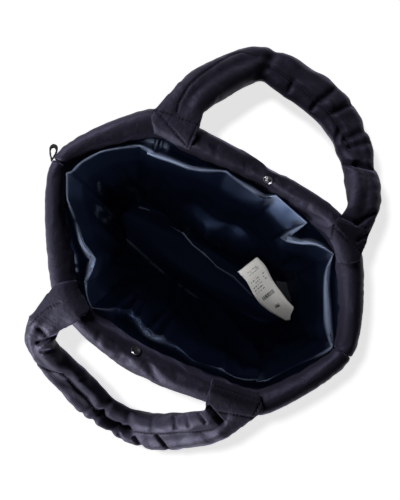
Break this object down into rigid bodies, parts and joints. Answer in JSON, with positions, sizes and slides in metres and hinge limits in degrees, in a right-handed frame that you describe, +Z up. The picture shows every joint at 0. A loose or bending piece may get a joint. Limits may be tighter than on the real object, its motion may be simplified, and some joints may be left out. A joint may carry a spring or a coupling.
{
  "type": "mini puffer bag",
  "caption": "Small open padded tote of quilted cloth with a glossy hanging lining, padded handles sewn over the rolled rim, a metal snap and a sewn-in care label.",
  "frame": {"origin": "on the surface that the bag stands on, under the middle of its flat base", "axes": "+Z up, +X along the long panels towards the end with the care label, +Y towards the back panel"},
  "size_m": [0.3413, 0.3915, 0.2247],
  "materials": {
    "shell": "fine nylon, soft sheen",
    "lining": "glossy taffeta",
    "snap_metal": "satin nickel",
    "care_label": "matt tape",
    "dark_label": "satin tape",
    "cord": "braided cord"
  },
  "bodies": {
    "root": {"base_panel": "shell", "back_panel": "shell", "front_panel": "shell", "lining": "lining", "back_handle": "shell", "front_handle": "shell", "back_snap": "snap_metal", "front_snap": "snap_metal", "care_label": "care_label", "dark_label": "dark_label", "side_loop": "cord"}
  },
  "joints": []
}
